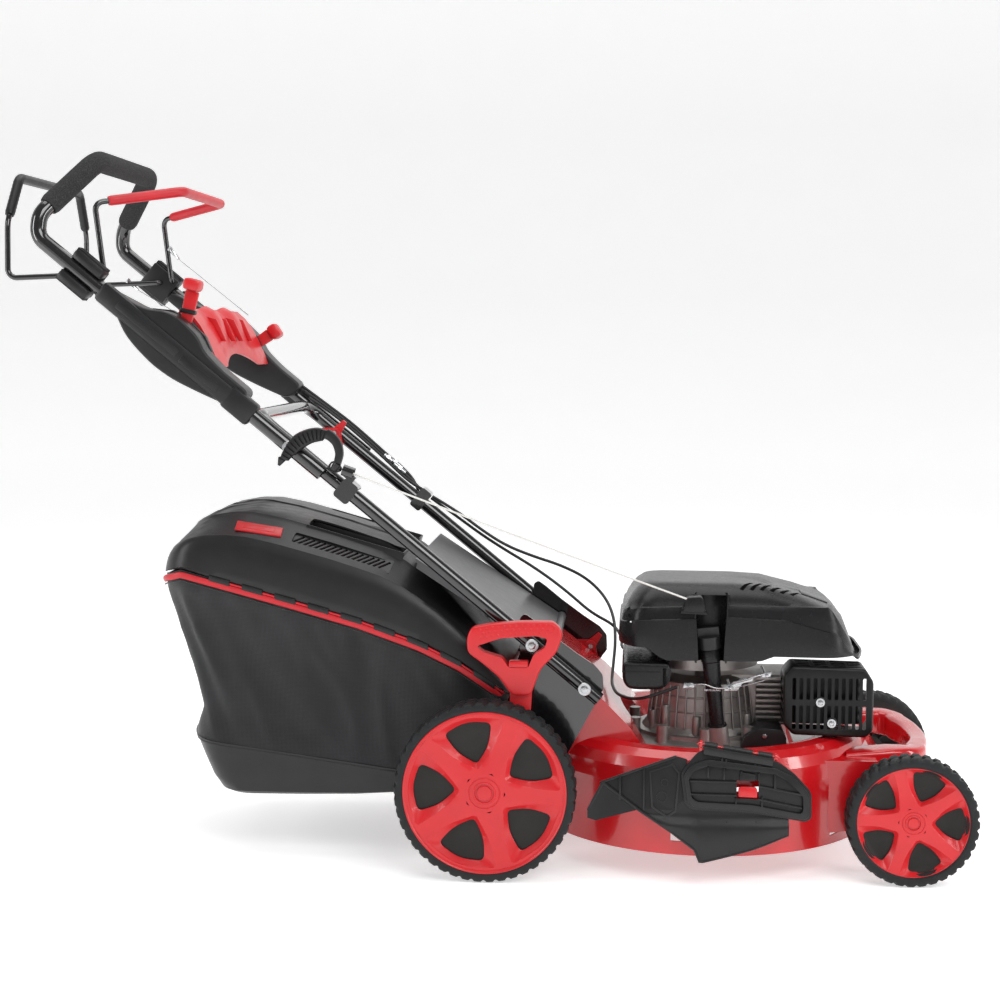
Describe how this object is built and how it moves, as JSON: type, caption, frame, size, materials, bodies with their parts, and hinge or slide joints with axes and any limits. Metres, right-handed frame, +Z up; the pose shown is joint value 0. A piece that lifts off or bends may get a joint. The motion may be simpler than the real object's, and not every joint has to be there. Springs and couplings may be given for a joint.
{
  "type": "lawn mower",
  "caption": "Petrol lawn mower with a round steel deck, a ribbed engine shroud, a rear grass bag and a folding U-shaped handle with two bails",
  "frame": {"origin": "on the ground under the middle of the machine's box", "axes": "+X forward, +Y to the machine's left, +Z up"},
  "size_m": [1.5123, 0.58, 1.127],
  "materials": {
    "deck_paint": "gloss",
    "red_plastic": "satin",
    "bail_red": "satin",
    "tube_black": "gloss",
    "black_plastic": "satin",
    "shroud_black": "satin",
    "flap_grey": "satin",
    "foam": "matte",
    "wheel_grey": "matte",
    "tyre": "matte",
    "bag_mesh": "matte",
    "cable": "satin",
    "rope": "matte",
    "engine_casting": "cast",
    "guard_black": "matte",
    "zinc": "zinc plated",
    "blade_steel": "ground"
  },
  "bodies": {
    "chassis": {"deck_shell": "deck_paint", "front_bumper": "deck_paint", "handle_brackets": "tube_black", "lower_handle": "tube_black", "handle_hardware": "zinc", "control_cables": "cable", "starter_rope": "rope", "engine_block": "engine_casting", "engine_sump": "engine_casting", "muffler": "guard_black", "muffler_guard": "guard_black", "engine_shroud": "shroud_black", "fuel_tank": "black_plastic", "oil_filler_tube": "black_plastic", "carburettor": "engine_casting", "throttle_linkage": "zinc"},
    "crank": {"crankshaft": "zinc", "flywheel": "engine_casting", "blade": "blade_steel"},
    "rear_carrier": {"rear_axle": "zinc", "gearbox": "engine_casting"},
    "front_carrier": {"front_axle": "zinc"},
    "wheel_rear_right_body": {"tyre_rear_right": "tyre", "wheel_rear_right": "wheel_grey", "hub_cover_rear_right": "red_plastic"},
    "wheel_rear_left_body": {"tyre_rear_left": "tyre", "wheel_rear_left": "wheel_grey", "hub_cover_rear_left": "red_plastic"},
    "wheel_front_right_body": {"tyre_front_right": "tyre", "wheel_front_right": "wheel_grey", "hub_cover_front_right": "red_plastic"},
    "wheel_front_left_body": {"tyre_front_left": "tyre", "wheel_front_left": "wheel_grey", "hub_cover_front_left": "red_plastic"},
    "height_lever_body": {"height_lever": "red_plastic"},
    "upper_handle_body": {"upper_handle": "tube_black", "foam_grip": "foam", "console_right": "black_plastic", "console_left": "black_plastic", "console_cover": "red_plastic", "bail_pivots": "black_plastic"},
    "fold_knob_right_body": {"fold_knob_right": "red_plastic"},
    "fold_knob_left_body": {"fold_knob_left": "red_plastic"},
    "handle_knob_right_body": {"handle_knob_right": "red_plastic"},
    "handle_knob_left_body": {"handle_knob_left": "red_plastic"},
    "throttle_lever_body": {"throttle_lever": "red_plastic"},
    "speed_lever_body": {"speed_lever": "red_plastic"},
    "starter_grip_body": {"starter_grip": "black_plastic"},
    "rear_flap_body": {"rear_flap": "flap_grey"},
    "side_flap_body": {"side_flap": "black_plastic"},
    "side_chute_body": {"side_chute": "black_plastic"},
    "side_latch_body": {"side_latch": "red_plastic"},
    "oil_cap_body": {"oil_cap": "black_plastic"},
    "brake_bail_body": {"brake_bail": "tube_black", "brake_bail_grip": "bail_red"},
    "drive_bail_body": {"drive_bail": "tube_black", "drive_bail_grip": "black_plastic"},
    "bag_body": {"bag_lid": "black_plastic", "bag_fabric": "bag_mesh", "bag_tray": "black_plastic"}
  },
  "joints": [
    {"name": "blade_spin", "type": "hinge", "parent": "chassis", "child": "crank", "pos_m": [0.355, 0, 0.1], "axis": [0, 0, 1], "continuous": true},
    {"name": "rear_height", "type": "hinge", "parent": "chassis", "child": "rear_carrier", "pos_m": [0.074, 0, 0.15], "axis": [0, 1, 0], "range_deg": [-20, 20]},
    {"name": "front_height", "type": "hinge", "parent": "chassis", "child": "front_carrier", "pos_m": [0.604, 0, 0.112], "axis": [0, 1, 0], "range_deg": [-20, 20]},
    {"name": "height_lever_turn", "type": "hinge", "parent": "chassis", "child": "height_lever_body", "pos_m": [0.06, -0.23, 0.186], "axis": [0, 1, 0], "range_deg": [-18, 18]},
    {"name": "wheel_rear_right_spin", "type": "hinge", "parent": "rear_carrier", "child": "wheel_rear_right_body", "pos_m": [0.014, -0.267, 0.14], "axis": [0, 1, 0], "continuous": true},
    {"name": "wheel_rear_left_spin", "type": "hinge", "parent": "rear_carrier", "child": "wheel_rear_left_body", "pos_m": [0.014, 0.267, 0.14], "axis": [0, 1, 0], "continuous": true},
    {"name": "wheel_front_right_spin", "type": "hinge", "parent": "front_carrier", "child": "wheel_front_right_body", "pos_m": [0.664, -0.243, 0.1], "axis": [0, 1, 0], "continuous": true},
    {"name": "wheel_front_left_spin", "type": "hinge", "parent": "front_carrier", "child": "wheel_front_left_body", "pos_m": [0.664, 0.243, 0.1], "axis": [0, 1, 0], "continuous": true},
    {"name": "upper_handle_fold", "type": "hinge", "parent": "chassis", "child": "upper_handle_body", "pos_m": [-0.29118, 0, 0.664], "axis": [0, 1, 0], "range_deg": [0, 130]},
    {"name": "brake_bail_squeeze", "type": "hinge", "parent": "upper_handle_body", "child": "brake_bail_body", "pos_m": [-0.588, 0, 0.932], "axis": [0, 1, 0], "range_deg": [-36, 0], "stiffness_Nm_per_rad": 0.6, "springref_deg": 28.65},
    {"name": "drive_bail_squeeze", "type": "hinge", "parent": "upper_handle_body", "child": "drive_bail_body", "pos_m": [-0.61, 0, 0.93], "axis": [0, 1, 0], "range_deg": [0, 30], "stiffness_Nm_per_rad": 0.6, "springref_deg": -28.65},
    {"name": "throttle_lever_turn", "type": "hinge", "parent": "upper_handle_body", "child": "throttle_lever_body", "pos_m": [-0.475, -0.192, 0.795], "axis": [0, 1, 0], "range_deg": [-5, 45]},
    {"name": "speed_lever_turn", "type": "hinge", "parent": "upper_handle_body", "child": "speed_lever_body", "pos_m": [-0.475, 0.192, 0.795], "axis": [0, 1, 0], "range_deg": [-45, 5]},
    {"name": "fold_knob_right_turn", "type": "hinge", "parent": "chassis", "child": "fold_knob_right_body", "pos_m": [-0.29118, -0.18, 0.664], "axis": [0, 1, 0], "continuous": true},
    {"name": "handle_knob_right_turn", "type": "hinge", "parent": "chassis", "child": "handle_knob_right_body", "pos_m": [0.16408, -0.176, 0.28872], "axis": [0, 1, 0], "continuous": true},
    {"name": "fold_knob_left_turn", "type": "hinge", "parent": "chassis", "child": "fold_knob_left_body", "pos_m": [-0.29118, 0.18, 0.664], "axis": [0, 1, 0], "continuous": true},
    {"name": "handle_knob_left_turn", "type": "hinge", "parent": "chassis", "child": "handle_knob_left_body", "pos_m": [0.16408, 0.176, 0.28872], "axis": [0, 1, 0], "continuous": true},
    {"name": "starter_pull", "type": "slide", "parent": "chassis", "child": "starter_grip_body", "axis": [-0.6201, -0.2601, 0.7401], "range_m": [0, 0.5], "stiffness_N_per_m": 15, "springref_m": -0.1},
    {"name": "rear_flap_swing", "type": "hinge", "parent": "chassis", "child": "rear_flap_body", "pos_m": [0.112, 0, 0.34], "axis": [0, -1, 0], "range_deg": [-60, 0], "stiffness_Nm_per_rad": 0.8, "springref_deg": 34.38},
    {"name": "bag_lift_off", "type": "slide", "parent": "chassis", "child": "bag_body", "axis": [-1, 0, 0], "range_m": [0, 0.4]},
    {"name": "side_flap_swing", "type": "hinge", "parent": "chassis", "child": "side_flap_body", "pos_m": [0.346, -0.2705, 0.218], "axis": [-0.9874, 0, 0.1584], "range_deg": [0, 75], "stiffness_Nm_per_rad": 0.15, "springref_deg": -28.65},
    {"name": "side_chute_unhook", "type": "slide", "parent": "side_flap_body", "child": "side_chute_body", "axis": [0, -0.0872, -0.9962], "range_m": [0, 0.03]},
    {"name": "side_latch_press", "type": "slide", "parent": "side_flap_body", "child": "side_latch_body", "axis": [0, 0.0872, 0.9962], "range_m": [0, 0.007], "stiffness_N_per_m": 60, "springref_m": -0.01},
    {"name": "oil_cap_turn", "type": "hinge", "parent": "chassis", "child": "oil_cap_body", "pos_m": [0.36087, -0.11959, 0.33894], "axis": [-0.1075, -0.0506, 0.9929], "range_deg": [0, 90]}
  ],
  "couplings": [
    {"joint": "front_height", "follows": "rear_height", "ratio": -1},
    {"joint": "height_lever_turn", "follows": "rear_height", "ratio": 0.9}
  ]
}
